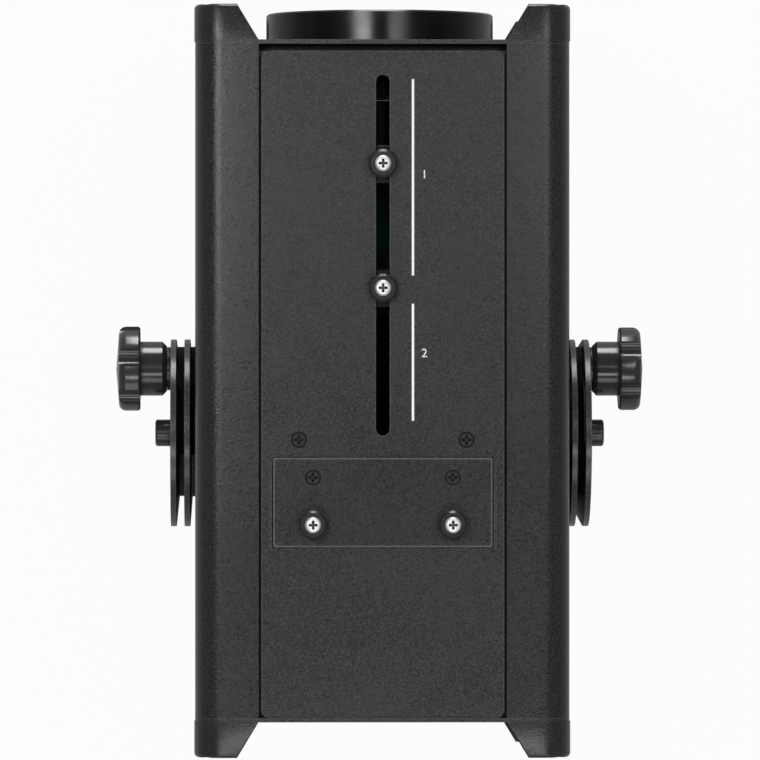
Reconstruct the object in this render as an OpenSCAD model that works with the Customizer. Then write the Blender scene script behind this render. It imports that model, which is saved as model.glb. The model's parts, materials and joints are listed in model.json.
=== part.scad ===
// Compact LED gobo projector with a double yoke, manual zoom and focus, and a lift-out gobo holder.
// Z points up, the lens faces -Y, and the origin lies on the floor under the middle of the projector.
// Lengths are in millimetres.

/* [Housing] */
// Outer width of the housing
housing_w = 134.4; // [128:0.2:140]
// Outer height of the housing
housing_h = 134; // [128:0.5:140]
// Length of the extruded side profiles, between the end plates
body_l = 241.4; // [236:0.2:260]
// Outer corner radius of the side profiles and end plates
corner_r = 9.75; // [8:0.25:11]
// Wall thickness of the side profiles
wall_t = 3; // [2.4:0.1:3.4]
// Width of the top and bottom panels
panel_w = 87; // [86.4:0.2:90]
// Thickness of the front and rear plates
plate_t = 1.5; // [1:0.1:2]
// Thickness of the top and bottom panels
panel_t = 1.5; // [1.2:0.1:2]
// Depth of the panels below the profile flanges
panel_recess = 0.8; // [0.5:0.1:1.2]
// Groove between a panel and the profile flange
panel_gap = 0.9; // [0.3:0.1:1]
// Gap between the front plate and the panels
panel_front_gap = 2.5; // [1:0.1:3]
// Width of the ledge that carries a panel
ledge_w = 4; // [3:0.5:4.5]
// Thickness of the ledge
ledge_t = 2; // [1.5:0.1:3]
// Height of the rib inside each profile, which takes the yoke screws
rib_h = 20; // [16:1:26]
// Thickness of that rib
rib_t = 4; // [3:0.5:5]

/* [Corner caps] */
// How far the corner caps stand out from the end plates
cap_l = 12.8; // [11:0.2:14]
// Leg of a cap's triangle at the end plate
cap_base = 23; // [21:0.5:25]
// Leg of a cap's triangle at its free end
cap_end = 15.3; // [14:0.1:17]
// How far a cap stands proud of the profile
cap_over = 0.3; // [0.1:0.1:0.5]
// Rounding at a cap's free end
cap_round = 1.6; // [0.8:0.1:2]
// Distance of the cap screw from the two outer faces
cap_screw_in = 5; // [4.8:0.1:5.6]
// Depth of the counterbore for the cap screw's head
cap_bore_l = 4; // [3.4:0.2:6]

/* [Optics] */
// Outer diameter of the lens hood
hood_d = 83; // [81:0.5:88]
// Wall thickness of the lens hood
hood_wall = 2.8; // [2:0.1:3]
// How far the hood stands out from the front plate
hood_out = 12; // [8:0.2:12.8]
// Outer diameter of the sliding zoom tube
zoom_tube_d = 75.6; // [70:0.2:76]
// Wall thickness of the zoom tube
zoom_wall = 2; // [1.5:0.1:2.5]
// Length of the zoom tube
zoom_tube_l = 30.5; // [28:0.5:32]
// Place of the zoom carriage's block along the axis
zoom_y = -77.7; // [-79:0.1:-75]
// Place of the focus carriage's block along the axis
focus_y = -33.2; // [-35:0.1:-32]
// Length of each carriage block along the axis
block_l = 13.4; // [11:0.2:14]
// Width of each carriage block
block_w = 20; // [14:1:24]
// Outer diameter of the focus ring
focus_d = 62; // [58:1:66]
// Diameter of the focus lens
focus_lens_d = 51.8; // [48:0.2:52]
// Diameter of the guide rods
rod_d = 6; // [5:0.5:8]
// Distance of each guide rod from the optical axis
rod_x = 47; // [45:0.5:50]
// Outer diameter of the ears that run on the rods
ear_d = 11; // [10:0.5:12]
// Thickness of the bulkhead behind the front plate
front_bulkhead_t = 3; // [2:0.5:4]

/* [Slot and thumb screws] */
// Width of the slot in the top panel
slot_w = 4.9; // [4.4:0.1:5.4]
// Front end of the slot
slot_front = -109.6; // [-112:0.2:-108]
// Rear end of the slot
slot_rear = 19.6; // [18:0.2:20.5]
// Diameter of a thumb screw's black knob
thumb_d = 10.2; // [9:0.1:12]
// Height of a thumb screw's black knob
thumb_h = 5.5; // [4:0.5:8]
// Diameter of the small machine screws
screw_d = 3; // [2.5:0.5:3.5]
// Diameter of a pan head on those screws
pan_d = 5.9; // [5.5:0.1:6.5]
// Diameter of a countersunk or cylinder head on those screws
head_d = 5.6; // [5:0.1:6.2]

/* [Gobo access] */
// Width of the gobo cover plate
cover_w = 78.3; // [74:0.1:79]
// Length of the gobo cover plate
cover_l = 31.7; // [30:0.1:33]
// Place of the cover's front edge
cover_front = 27.7; // [27:0.1:28.5]
// Thickness of the cover plate
cover_t = 1.2; // [1:0.1:2]
// Gap between the cover and the raised lips beside it
lip_gap = 0.5; // [0.3:0.1:1.2]
// Width of a raised lip
lip_w = 1.2; // [0.8:0.1:1.6]
// Height of a raised lip over the panel
lip_h = 0.8; // [0.4:0.1:1.2]
// Width of the gobo holder
holder_w = 68; // [62:1:70]
// Thickness of the gobo holder
holder_t = 1.5; // [1:0.1:2]
// Diameter of the gobo
gobo_d = 53; // [48:0.5:54]
// Thickness of the gobo
gobo_t = 0.5; // [0.3:0.1:0.8]
// Diameter of the picture in the gobo
picture_d = 43; // [38:0.5:45]
// Distance from the optical axis to the cover's black screws
cover_screw_x = 25; // [22:0.5:27]
// Place of the cover's black screws along the axis
cover_screw_y = 34.6; // [34:0.1:36]
// Place of the cover's thumb screws along the axis
cover_thumb_y = 51.5; // [50.5:0.1:53]

/* [Light engine] */
// Outer diameter of the condenser housing
condenser_d = 60; // [56:1:64]
// Diameter of the condenser lenses
condenser_lens_d = 50; // [46:1:52]
// Place of the heat sink's front face
sink_y = 62; // [61:0.5:64]
// Thickness of the heat sink's base
sink_base_t = 6; // [4:0.5:8]
// Height of the heat sink
sink_h = 88; // [70:1:90]
// Depth of the heat sink's fins
fin_l = 24; // [15:1:26]
// Thickness of a fin
fin_t = 1.6; // [1.2:0.1:2]
// Distance from fin to fin
fin_pitch = 7; // [5:0.5:10]
// Side of the square fan
fan_w = 60; // [50:1:60]
// Depth of the fan
fan_h = 15; // [10:1:15]
// Place of the fan's axis along the housing
fan_y = 62; // [60:1:64]

/* [Yokes] */
// Place of the pivot along the housing
pivot_y = 18.9; // [16:0.1:24]
// Height of the pivot over the floor, the length of the outer yoke
outer_len = 150; // [149:0.5:160]
// Length of the inner yoke
inner_len = 139.5; // [139:0.5:142]
// Thickness of the yoke sheet
yoke_t = 2.2; // [2:0.1:2.5]
// Radius of the round ends of the yokes
disc_r = 34.2; // [33:0.2:38]
// Width of the yokes at the bar
bar_w = 50; // [44:1:60]
// Outer bend radius at the yoke's corners
bend_r = 7; // [5:0.5:8]
// Distance from the pivot to the clamping stud
stud_r = 23.5; // [22.5:0.1:25]
// Diameter of the pivot screws and clamping studs
stud_d = 6; // [5:0.5:6.5]
// Width of the arc slots
arc_w = 6.8; // [6.8:0.1:8]
// Thickness of the pad between the housing and the inner yoke
inner_pad_t = 1.9; // [1.6:0.1:2.4]
// Thickness of the pad between the two yokes
outer_pad_t = 2.6; // [2.2:0.1:3]
// Width of the pads
pad_w = 16; // [14:0.5:18]
// Diameter of the clamp bolt hole in the middle of each bar
clamp_hole_d = 13; // [11:0.5:14]
// Distance between the two slots beside that hole
bar_slot_pitch = 70; // [60:1:80]
// Length of those slots
bar_slot_l = 26; // [20:1:30]
// Width of those slots
bar_slot_w = 8.4; // [6.4:0.2:10]

/* [Clamp knobs] */
// Diameter of the lobed head
knob_d = 30.8; // [28:0.2:34]
// Thickness of the lobed head
knob_h = 8.8; // [7:0.2:10]
// Diameter of the knob's hub
hub_d = 19.8; // [17:0.2:20]
// Length of the knob's hub
hub_l = 9.7; // [8:0.1:12]
// Number of lobes
lobes = 6; // [5:1:8]
// Thickness of the washer under the knob
washer_t = 1.3; // [1:0.1:1.6]
// Diameter of the pivot screw's socket head
socket_d = 9.8; // [9:0.1:10.5]
// Length of the pivot screw's socket head
socket_h = 5.6; // [5:0.1:6.5]

/* [Hidden] */
$fn = 64;
// Overshoot of a cut past the face that it opens
cut = 0.5;
// Radial clearance of a running fit
fit = 0.05;
// Gap between flat faces that slide on each other
face_gap = 0.1;
// Space between pieces that must not touch
air = 0.4;
// Colours
black = [0.06, 0.06, 0.06];
satin_black = [0.1, 0.1, 0.1];
silver = [0.75, 0.75, 0.77];
aluminium = [0.6, 0.61, 0.63];
board_green = [0.05, 0.25, 0.12];
glass = [0.75, 0.85, 0.9, 0.4];

// Height of the optical axis and of the pivot
axis_z = outer_len;
half_w = housing_w / 2;
half_h = housing_h / 2;
front_y = -body_l / 2;
rear_y = body_l / 2;
// Heights over the optical axis
panel_top = half_h - panel_recess;
panel_under = panel_top - panel_t;
// The panel's edge, and the inner edge of the profile flange
panel_half = panel_w / 2;
flange_x = panel_half + panel_gap;
panel_y0 = front_y + panel_front_gap;
panel_corner = 3;
// Inner face of the rib in each profile
rib_x = half_w - wall_t - rib_t;
screw_r = screw_d / 2;
hole_r = screw_r + fit;
csk_l = 1.4;
// Radial clearance of a countersunk head at the surface
csk_clear = 0.25;
csk_recess = 1;
pan_h = 2.2;
pan_recess = 1.3;
recess_w = 0.9;
// Cap screws
cap_screw_x = half_w - cap_screw_in;
cap_screw_z = half_h - cap_screw_in;
cap_screw_head_l = 3;
cap_screw_grip = 12;
cap_hex = 2.5;
cap_hex_l = 1.6;
// Each screw channel stays inside the rounding of its corner
channel_skin = 0.1;
channel_r = sqrt(2) * cap_screw_in - (sqrt(2) - 1) * corner_r - channel_skin;
tip_r = 0.6;
// Optics
hood_r = hood_d / 2;
hood_in = hood_r - hood_wall;
hood_bevel = 0.6;
rod_r = rod_d / 2;
block_top = panel_under - air;
web_h = 6;
thumb_hole_l = 10;
thumb_grip = 8;
bulkhead_side = 4;
front_bulkhead_w = 2 * rod_x + ear_d + 2 * bulkhead_side;
front_bulkhead_h = 100;
zoom_r = zoom_tube_d / 2;
zoom_rear = zoom_y + block_l / 2;
zoom_front = zoom_rear - zoom_tube_l;
lens_edge = 3;
lens_shoulder = 2.5;
zoom_bore = zoom_r - zoom_wall;
zoom_lens_in = 9;
zoom_lens_y = zoom_rear - zoom_lens_in;
zoom_lens_curve = 72;
focus_r = focus_d / 2;
focus_lens_r = focus_lens_d / 2;
focus_rear = focus_y + block_l / 2;
focus_lip = 3;
focus_lens_curve = 60;
ring_l = 2;
// Gobo bulkhead and holder
bulkhead_t = 2;
bulkhead_y = slot_rear - slot_w / 2 + block_l / 2 + air;
bulkhead_h = 88;
bulkhead_hole = 25;
neck_w = 2 * (flange_x - ledge_w) - 4;
tab_w = 12;
tab_l = 6.3;
tab_t = 2;
panel_screw_x = 30;
panel_screw_y = bulkhead_y - tab_l / 2;
panel_screw_l = 6;
holder_y = cover_front + 2.9;
holder_tab_l = 9;
gobo_y = holder_y + holder_t;
rim_l = 2.5;
rim_t = 2.4;
gobo_r = gobo_d / 2;
holder_low = gobo_r + rim_t + 2;
wire_r = 0.6;
wire_gap = 30;
picture_margin = 0.5;
cover_rear = cover_front + cover_l;
cover_z = panel_top + face_gap;
opening_half = holder_w / 2 + 2;
opening_front = holder_y - 0.8;
opening_to_thumb = 6.5;
opening_rear = cover_thumb_y - opening_to_thumb;
lip_x = cover_w / 2 + lip_gap;
rail_t = 2;
rail_x = holder_w / 2 + air;
rail_top = 44;
nut_r = 3.5;
nut_l = 2.5;
// Light engine
condenser_r = condenser_d / 2;
condenser_lens_r = condenser_lens_d / 2;
condenser_y = gobo_y + rim_l + 1.9;
condenser_lip = 1.6;
condenser_curve = 60;
condenser_flange_w = 70;
condenser_flange_l = 3.5;
led_board_w = 44;
led_board_t = 1.6;
emitter_r = 7;
emitter_t = 1.2;
led_pocket_l = led_board_t + emitter_t + 0.3;
// Fan
floor_z = axis_z - panel_under;
fan_bore = fan_w / 2 - 1.6;
fan_hub = 12;
fan_screw_in = 5;
strut_t = 3;
blades = 7;
blade_t = 1.2;
blade_tilt = 38;
shaft_r = 1.5;
grille_slot = 3;
grille_pitch = 6;
// Boards
board_t = 1.6;
driver_w = 76;
driver_l = 112;
driver_in = 14;
driver_y0 = front_y + driver_in;
standoff_l = 6;
standoff_r = 3;
standoff_in = 5;
// Blocks on the driver board: left edge, distance from its front, width, length, height
driver_blocks = [[-26, 58, 28, 24, 15], [-30, 14, 20, 26, 12], [-16, 92, 32, 4, 14]];
// Lying and standing round cans on it
big_can_x = 4;
big_can_y = [22, 42];
big_can_r = 7;
big_can_l = 24;
small_can_x = 14;
small_can_y = [60, 72, 84];
small_can_r = 4.5;
small_can_l = 12;
control_w = 84;
control_h = 36;
control_in = 10.7;
control_y = rear_y - control_in;
post_r = 2.5;
post_in = 4;
display_w = 46;
display_h = 14;
display_drop = 21;
display_z = half_h - display_drop;
display_out = 0.3;
button_drop = 19;
button_z = display_z - button_drop;
control_drop = 8;
control_z = display_z - control_drop;
button_pitch = 16;
button_r = 3.4;
button_out = 1;
button_l = 6.7;
button_flange_r = 4.6;
button_flange_t = 1;
button_bevel = 0.4;
switch_w = 6;
switch_l = 4;
// Connectors on the rear plate
plate_out = rear_y + plate_t;
data_x = 22;
data_w = 26;
data_h = 31;
data_flange_t = 1.8;
data_r = 11.8;
data_l = 24;
data_cavity_r = 9.6;
data_cavity_l = 14;
data_pin_r = 1.2;
data_pin_l = 10;
data_insert_l = 13;
data_insert_r = 8.1;
data_pin_ring = 4;
data_screw_x = 9.5;
data_screw_z = 12;
inlet_w = 50;
inlet_h = 34;
inlet_over_floor = 5.2;
inlet_z = inlet_over_floor + inlet_h / 2 - panel_top;
data_z = (inlet_z + inlet_h / 2 + control_z - control_h / 2) / 2;
inlet_flange_t = 2.4;
inlet_body_w = 27;
inlet_body_h = 31;
inlet_l = 24;
inlet_screw_x = 20;
socket_z = 5.5;
socket_w = 24;
socket_opening_h = 16.4;
socket_l = 15;
socket_cut = 4.5;
prong_w = 4;
prong_t = 2;
prong_gap = 7;
prong_step = 2;
prong_in = 3;
drawer_z = -10;
drawer_w = 22;
drawer_h = 7;
drawer_l = 18;
drawer_wall = 1;
drawer_end = 4;
drawer_notch_l = 1.2;
drawer_notch_h = 2;
fuse_r = 2.6;
connector_screw_l = 8;
vent_x = 50;
vent_w = 12;
vent_h = 2.4;
vent_pitch = 5;
// Safety eye
eye_in = 15;
eye_y = rear_y - eye_in;
eye_r = 8;
eye_rod_r = 2;
eye_drop = 6;
eye_collar_h = 1;
// Riveted heads of the eye's legs, inside the bottom panel
eye_head_r = 3.4;
eye_head_h = 1.6;
// Layers beside the housing, as distances from the middle
pad1_x = half_w;
inner_x = pad1_x + inner_pad_t + face_gap;
pad2_x = inner_x + yoke_t + face_gap;
outer_x = pad2_x + outer_pad_t + face_gap;
washer_x = outer_x + yoke_t + face_gap;
hub_x = washer_x + washer_t + face_gap;
stud_rad = stud_d / 2;
washer_r = 7.9;
hub_bevel = 1.6;
knob_round = 2.6;
knob_bevel = 0.6;
scallop_out = 1;
knob_dome = 1;
scallop_r = 3.8;
// Angles at which the two knobs stand
left_turn = 16;
right_turn = 27;
socket_hex = 5;
socket_depth = 3;
socket_bevel = 0.6;
// Range of the clamping stud in the arc slots, over the horizontal
arc_low = -47;
arc_high = 92;

// Section in X and Z about the optical axis, extruded from y0 to y1
module along_y(y0, y1) {
    translate([0, y1, axis_z]) rotate([90, 0, 0]) linear_extrude(y1 - y0) children();
}

// Section in Y and Z about the pivot, extruded from x0 to x1
module along_x(x0, x1) {
    translate([x0, pivot_y, axis_z]) rotate([90, 0, 90]) linear_extrude(x1 - x0) children();
}

// Section in X and Y, extruded from z0 to z1 over the optical axis
module along_z(z0, z1) {
    translate([0, 0, axis_z + z0]) linear_extrude(z1 - z0) children();
}

// Turned piece on the optical axis, its local Z pointing to the rear
module turned(y) {
    translate([0, y, axis_z]) rotate([-90, 0, 0]) children();
}

module both_sides() {
    children();
    mirror([1, 0, 0]) children();
}

module rounded(w, h, r) {
    square([w - 2 * r, h], center = true);
    square([w, h - 2 * r], center = true);
    for (x = [-1, 1], y = [-1, 1]) translate([x * (w / 2 - r), y * (h / 2 - r)]) circle(r);
}

module block(w, h, x = 0, z = 0) {
    translate([x, z]) square([w, h], center = true);
}

// Straight slot with round ends, along the first axis
module long_hole(l, w) {
    square([l - w, w], center = true);
    for (s = [-1, 1]) translate([s * (l - w) / 2, 0]) circle(w / 2);
}

module tube(r_out, r_in, l) {
    difference() {
        cylinder(r = r_out, h = l);
        translate([0, 0, -cut]) cylinder(r = r_in, h = l + 2 * cut);
    }
}

// Cross recess in a screw head, its mouth at z = 0
module cross(depth, w = 3.2) {
    for (a = [0, 90]) rotate(a) translate([-w / 2, -recess_w / 2, -depth]) cube([w, recess_w, depth + cut]);
}

// Countersunk screw, its head flush with z = 0 and its shank pointing down
module countersunk(l) {
    difference() {
        union() {
            translate([0, 0, -csk_l]) cylinder(r1 = screw_r, r2 = head_d / 2, h = csk_l);
            translate([0, 0, -l]) cylinder(r = screw_r, h = l);
        }
        cross(csk_recess);
    }
}

// Hole for that screw
module countersunk_hole(l) {
    r = head_d / 2 + csk_clear;
    translate([0, 0, -csk_l]) cylinder(r1 = hole_r, r2 = r, h = csk_l);
    translate([0, 0, -fit]) cylinder(r = r, h = cut);
    translate([0, 0, -l]) cylinder(r = hole_r, h = l + cut);
}

// Housing shell

module profile_section() {
    difference() {
        union() {
            difference() {
                rounded(housing_w, housing_h, corner_r);
                rounded(housing_w - 2 * wall_t, housing_h - 2 * wall_t, corner_r - wall_t);
                translate([-half_w - cut, -housing_h]) square([half_w + flange_x + cut, 2 * housing_h]);
            }
            for (s = [-1, 1]) {
                translate([flange_x - ledge_w, s * (panel_under - ledge_t / 2) - ledge_t / 2])
                    square([ledge_w + wall_t, ledge_t]);
                translate([cap_screw_x, s * cap_screw_z]) circle(channel_r);
            }
            translate([rib_x, -rib_h / 2]) square([rib_t + wall_t / 2, rib_h]);
        }
        for (s = [-1, 1]) translate([cap_screw_x, s * cap_screw_z]) circle(hole_r);
    }
}

module profile() {
    difference() {
        along_y(front_y, rear_y) profile_section();
        along_x(rib_x - cut, half_w + cut) {
            circle(stud_rad + fit);
            translate([-stud_r, 0]) circle(stud_rad + fit);
        }
        // The ledges start behind the panel's front gap
        for (s = [-1, 1]) along_y(front_y - cut, panel_y0)
            block(ledge_w + cut, ledge_t + 2 * cut, flange_x - (ledge_w + cut) / 2,
                  s * (panel_under - ledge_t / 2));
    }
}

module left_profile() color(satin_black) profile();

module right_profile() color(satin_black) mirror([1, 0, 0]) profile();

module panel_outline() {
    translate([0, (panel_y0 + rear_y) / 2]) rounded(2 * panel_half, rear_y - panel_y0, panel_corner);
}

module top_panel() color(satin_black) {
    difference() {
        union() {
            along_z(panel_under, panel_top) panel_outline();
            both_sides() {
                along_z(panel_under, panel_top + lip_h)
                    translate([lip_x, cover_front + lip_w]) square([lip_w, cover_l]);
                translate([cover_screw_x, cover_thumb_y, axis_z + panel_under - nut_l])
                    cylinder(r = nut_r, h = nut_l + panel_t / 2);
            }
        }
        along_z(panel_under - cut, panel_top + cut) {
            translate([0, (slot_front + slot_rear) / 2])
                rotate(90) long_hole(slot_rear - slot_front, slot_w);
            translate([-opening_half, opening_front])
                square([2 * opening_half, opening_rear - opening_front]);
        }
        both_sides() {
            along_z(panel_under - nut_l - cut, panel_top + cut)
                translate([cover_screw_x, cover_thumb_y]) circle(hole_r);
            translate([panel_screw_x, panel_screw_y, axis_z + panel_top]) countersunk_hole(panel_t + cut);
        }
    }
}

module bottom_panel() color(satin_black) {
    difference() {
        along_z(-panel_top, -panel_under) panel_outline();
        along_z(-panel_top - cut, -panel_under + cut)
            for (i = [-4:4]) {
                chord = 2 * sqrt(pow(fan_bore, 2) - pow(i * grille_pitch, 2));
                translate([i * grille_pitch, fan_y]) rotate(90) long_hole(chord, grille_slot);
            }
        for (x = [-1, 1]) {
            translate([x * panel_screw_x, panel_screw_y, axis_z - panel_top])
                mirror([0, 0, 1]) countersunk_hole(panel_t + cut);
            translate([x * eye_r, eye_y, axis_z - panel_top - cut])
                cylinder(r = eye_rod_r + fit, h = panel_t + 2 * cut);
        }
        fan_corners() mirror([0, 0, 1]) countersunk_hole(panel_t + cut);
    }
}

// The four fan screws, seen from below the bottom panel
module fan_corners() {
    corner = fan_w / 2 - fan_screw_in;
    for (x = [-1, 1], y = [-1, 1])
        translate([x * corner, fan_y + y * corner, axis_z - panel_top]) children();
}

module cap_screw_places() {
    for (x = [-1, 1], z = [-1, 1]) translate([x * cap_screw_x, z * cap_screw_z]) children();
}

module front_plate() color(black) {
    along_y(front_y - plate_t, front_y) difference() {
        rounded(housing_w, housing_h, corner_r);
        circle(hood_r + fit);
        cap_screw_places() circle(hole_r);
    }
}

module rear_plate() color(black) {
    along_y(rear_y, plate_out) difference() {
        rounded(housing_w, housing_h, corner_r);
        cap_screw_places() circle(hole_r);
        block(display_w + 2 * fit, display_h + 2 * fit, 0, display_z);
        for (i = [0:3]) translate([button_x(i), button_z]) circle(button_r + 2 * fit);
        for (x = [-1, 1]) translate([x * data_x, data_z]) {
            circle(data_r + fit);
            for (s = [-1, 1]) translate([s * data_screw_x, s * data_screw_z]) circle(hole_r);
        }
        block(inlet_body_w + 2 * fit, inlet_body_h + 2 * fit, 0, inlet_z);
        for (x = [-1, 1]) translate([x * inlet_screw_x, inlet_z]) circle(hole_r);
        for (x = [-1, 1], i = [-2:2])
            translate([x * vent_x, data_z + i * vent_pitch]) long_hole(vent_w, vent_h);
    }
}

// Rounded triangular corner cap on the rear end, in the corner at +X and +Z
module cap() {
    corner_x = half_w + cap_over;
    corner_z = half_h + cap_over;
    arc_r = corner_r + cap_over;
    steps = concat([[0, 0]],
        [for (a = [0:30:90]) [cap_l - cap_round * (1 - sin(a)), cap_round * (1 - cos(a))]]);
    slice = 0.01;
    arc_step = 9;
    difference() {
        translate([0, plate_out, 0]) hull() for (s = steps) {
            leg = cap_base + (cap_end - cap_base) * s[0] / cap_l;
            translate([0, s[0] - slice * s[0] / cap_l, axis_z]) rotate([-90, 0, 0]) {
                translate([corner_x - arc_r, arc_r - corner_z]) linear_extrude(slice)
                    polygon([for (a = [0:arc_step:90]) (arc_r - s[1]) * [cos(a), -sin(a)]]);
                translate([corner_x - leg + tip_r, tip_r + s[1] - corner_z])
                    cylinder(r = tip_r, h = slice, $fn = 16);
                translate([corner_x - tip_r - s[1], leg - tip_r - corner_z])
                    cylinder(r = tip_r, h = slice, $fn = 16);
            }
        }
        along_y(plate_out - cut, plate_out + cap_l) translate([cap_screw_x, cap_screw_z]) circle(hole_r);
        along_y(plate_out + cap_l - cap_bore_l, plate_out + cap_l + cut)
            translate([cap_screw_x, cap_screw_z]) circle(head_d / 2 + fit);
    }
}

module four_corners() {
    for (x = [0, 1], z = [0, 1])
        translate([0, 0, axis_z]) mirror([x, 0, 0]) mirror([0, 0, z]) translate([0, 0, -axis_z]) children();
}

module rear_caps() color(black) four_corners() cap();

module front_caps() color(black) mirror([0, 1, 0]) four_corners() cap();

module cap_screw() {
    grip_y = plate_out + cap_l - cap_bore_l;
    translate([cap_screw_x, grip_y, axis_z + cap_screw_z]) rotate([-90, 0, 0]) difference() {
        union() {
            cylinder(r = head_d / 2, h = cap_screw_head_l);
            translate([0, 0, rear_y - cap_screw_grip - grip_y])
                cylinder(r = screw_r, h = grip_y - rear_y + cap_screw_grip);
        }
        translate([0, 0, cap_screw_head_l - cap_hex_l])
            cylinder(r = cap_hex / sqrt(3), h = cap_hex_l + cut, $fn = 6);
    }
}

module cap_screws() color(satin_black) {
    four_corners() cap_screw();
    mirror([0, 1, 0]) four_corners() cap_screw();
}

module panel_screws() color(satin_black) {
    for (x = [-1, 1]) {
        translate([x * panel_screw_x, panel_screw_y, axis_z + panel_top]) countersunk(panel_screw_l);
        translate([x * panel_screw_x, panel_screw_y, axis_z - panel_top])
            mirror([0, 0, 1]) countersunk(panel_screw_l);
    }
    fan_corners() mirror([0, 0, 1]) countersunk(panel_screw_l);
}

// Optics

module lens_hood() color(satin_black) {
    l = hood_out + plate_t;
    turned(front_y - l) rotate_extrude($fn = 128) polygon([
        [hood_in, hood_bevel], [hood_in + hood_bevel, 0], [hood_r - hood_bevel, 0], [hood_r, hood_bevel],
        [hood_r, l], [hood_in, l]]);
}

module front_bulkhead() color(aluminium) {
    along_y(front_y, front_y + front_bulkhead_t) difference() {
        rounded(front_bulkhead_w, front_bulkhead_h, panel_corner);
        circle(hood_in);
        for (x = [-1, 1]) translate([x * rod_x, 0]) circle(rod_r + fit);
    }
}

module guide_rods() color(silver) {
    for (x = [-1, 1]) translate([x * rod_x, 0, 0])
        turned(front_y + cut) cylinder(r = rod_r, h = bulkhead_y + bulkhead_t - front_y - cut);
}

// Ears that run on the guide rods, and the block that the thumb screw goes into
module carriage_arms(y, ring_r) {
    ear_r = ear_d / 2;
    difference() {
        union() {
            along_y(y - block_l / 2, y + block_l / 2) {
                for (x = [-1, 1]) {
                    translate([x * rod_x, 0]) circle(ear_r);
                    block(rod_x - ring_r + 2, web_h, x * (rod_x + ring_r) / 2);
                }
                translate([-block_w / 2, ring_r - 3]) square([block_w, block_top - ring_r + 3]);
            }
        }
        for (x = [-1, 1]) translate([x * rod_x, 0, 0])
            turned(y - block_l / 2 - cut) cylinder(r = rod_r + fit, h = block_l + 2 * cut);
        translate([0, y, axis_z + block_top - thumb_hole_l]) cylinder(r = hole_r, h = thumb_hole_l + cut);
    }
}

module zoom_tube() color(black) {
    difference() {
        union() {
            turned(zoom_front) cylinder(r = zoom_r, h = zoom_tube_l, $fn = 96);
            carriage_arms(zoom_y, zoom_r - 1);
        }
        turned(zoom_front - cut) cylinder(r = zoom_bore, h = zoom_lens_y - zoom_front + cut, $fn = 96);
        turned(zoom_front) cylinder(r = zoom_bore - lens_shoulder, h = zoom_tube_l + cut, $fn = 96);
    }
}

// Lens with a flat face at z = 0 and a convex face away from it
module plano_convex(r, edge, curve) {
    sag = curve - sqrt(pow(curve, 2) - pow(r, 2));
    intersection() {
        cylinder(r = r, h = edge + sag, $fn = 96);
        translate([0, 0, edge + sag - curve]) sphere(r = curve, $fn = 128);
    }
}

// Depth of that convex face at radius q, from the flat face
function lens_depth(r, edge, curve, q) =
    edge + sqrt(pow(curve, 2) - pow(q, 2)) - sqrt(pow(curve, 2) - pow(r, 2));

module zoom_lens() color(glass)
    turned(zoom_lens_y) mirror([0, 0, 1]) plano_convex(zoom_bore - fit, lens_edge, zoom_lens_curve);

module zoom_lens_ring() color(black) {
    ring_in = zoom_bore - lens_shoulder / 2;
    depth = lens_depth(zoom_bore - fit, lens_edge, zoom_lens_curve, ring_in) + fit;
    turned(zoom_lens_y - depth - ring_l) tube(zoom_bore, ring_in, ring_l);
}

module focus_carriage() color(black) {
    difference() {
        union() {
            turned(focus_y - block_l / 2) cylinder(r = focus_r, h = block_l, $fn = 96);
            carriage_arms(focus_y, focus_r - 1);
        }
        turned(focus_y - block_l / 2 - cut)
            cylinder(r = focus_lens_r + fit, h = block_l - focus_lip + cut, $fn = 96);
        turned(focus_y - block_l / 2)
            cylinder(r = focus_lens_r - lens_shoulder, h = block_l + cut, $fn = 96);
    }
}

module focus_lens() color(glass)
    turned(focus_rear - focus_lip)
        mirror([0, 0, 1]) plano_convex(focus_lens_r, lens_edge, focus_lens_curve);

module focus_lens_ring() color(black) {
    ring_in = focus_lens_r - lens_shoulder / 2;
    depth = lens_depth(focus_lens_r, lens_edge, focus_lens_curve, ring_in) + fit;
    turned(focus_rear - focus_lip - depth - ring_l) tube(focus_lens_r + fit, ring_in, ring_l);
}

// Round black knob of a thumb screw, its foot at z = 0
module thumb_knob() {
    r = thumb_d / 2;
    bevel = 0.8;
    rotate_extrude() polygon([
        [screw_r, 0], [r - bevel / 2, 0], [r, bevel / 2], [r, thumb_h - bevel], [r - bevel, thumb_h],
        [screw_r, thumb_h]]);
}

// Pan head screw through that knob, reaching l below its foot
module thumb_screw(l) {
    r = pan_d / 2;
    rim_h = 0.9;
    dome_w = 1.1;
    translate([0, 0, thumb_h]) difference() {
        rotate_extrude() polygon(concat(
            [[0, 0], [r, 0]],
            [for (a = [0:22.5:90]) [r - dome_w * (1 - cos(a)), rim_h + (pan_h - rim_h) * sin(a)]],
            [[0, pan_h]]));
        translate([0, 0, pan_h]) cross(pan_recess);
    }
    translate([0, 0, -l]) cylinder(r = screw_r, h = l + thumb_h + fit);
}

module on_panel(y, x = 0, z = panel_top + face_gap) {
    translate([x, y, axis_z + z]) children();
}

module zoom_knob() color(black) on_panel(zoom_y) thumb_knob();

module zoom_screw() color(silver) on_panel(zoom_y) thumb_screw(panel_t + thumb_grip);

module focus_knob() color(black) on_panel(focus_y) thumb_knob();

module focus_screw() color(silver) on_panel(focus_y) thumb_screw(panel_t + thumb_grip);

// Gobo holder and its cover

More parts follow.
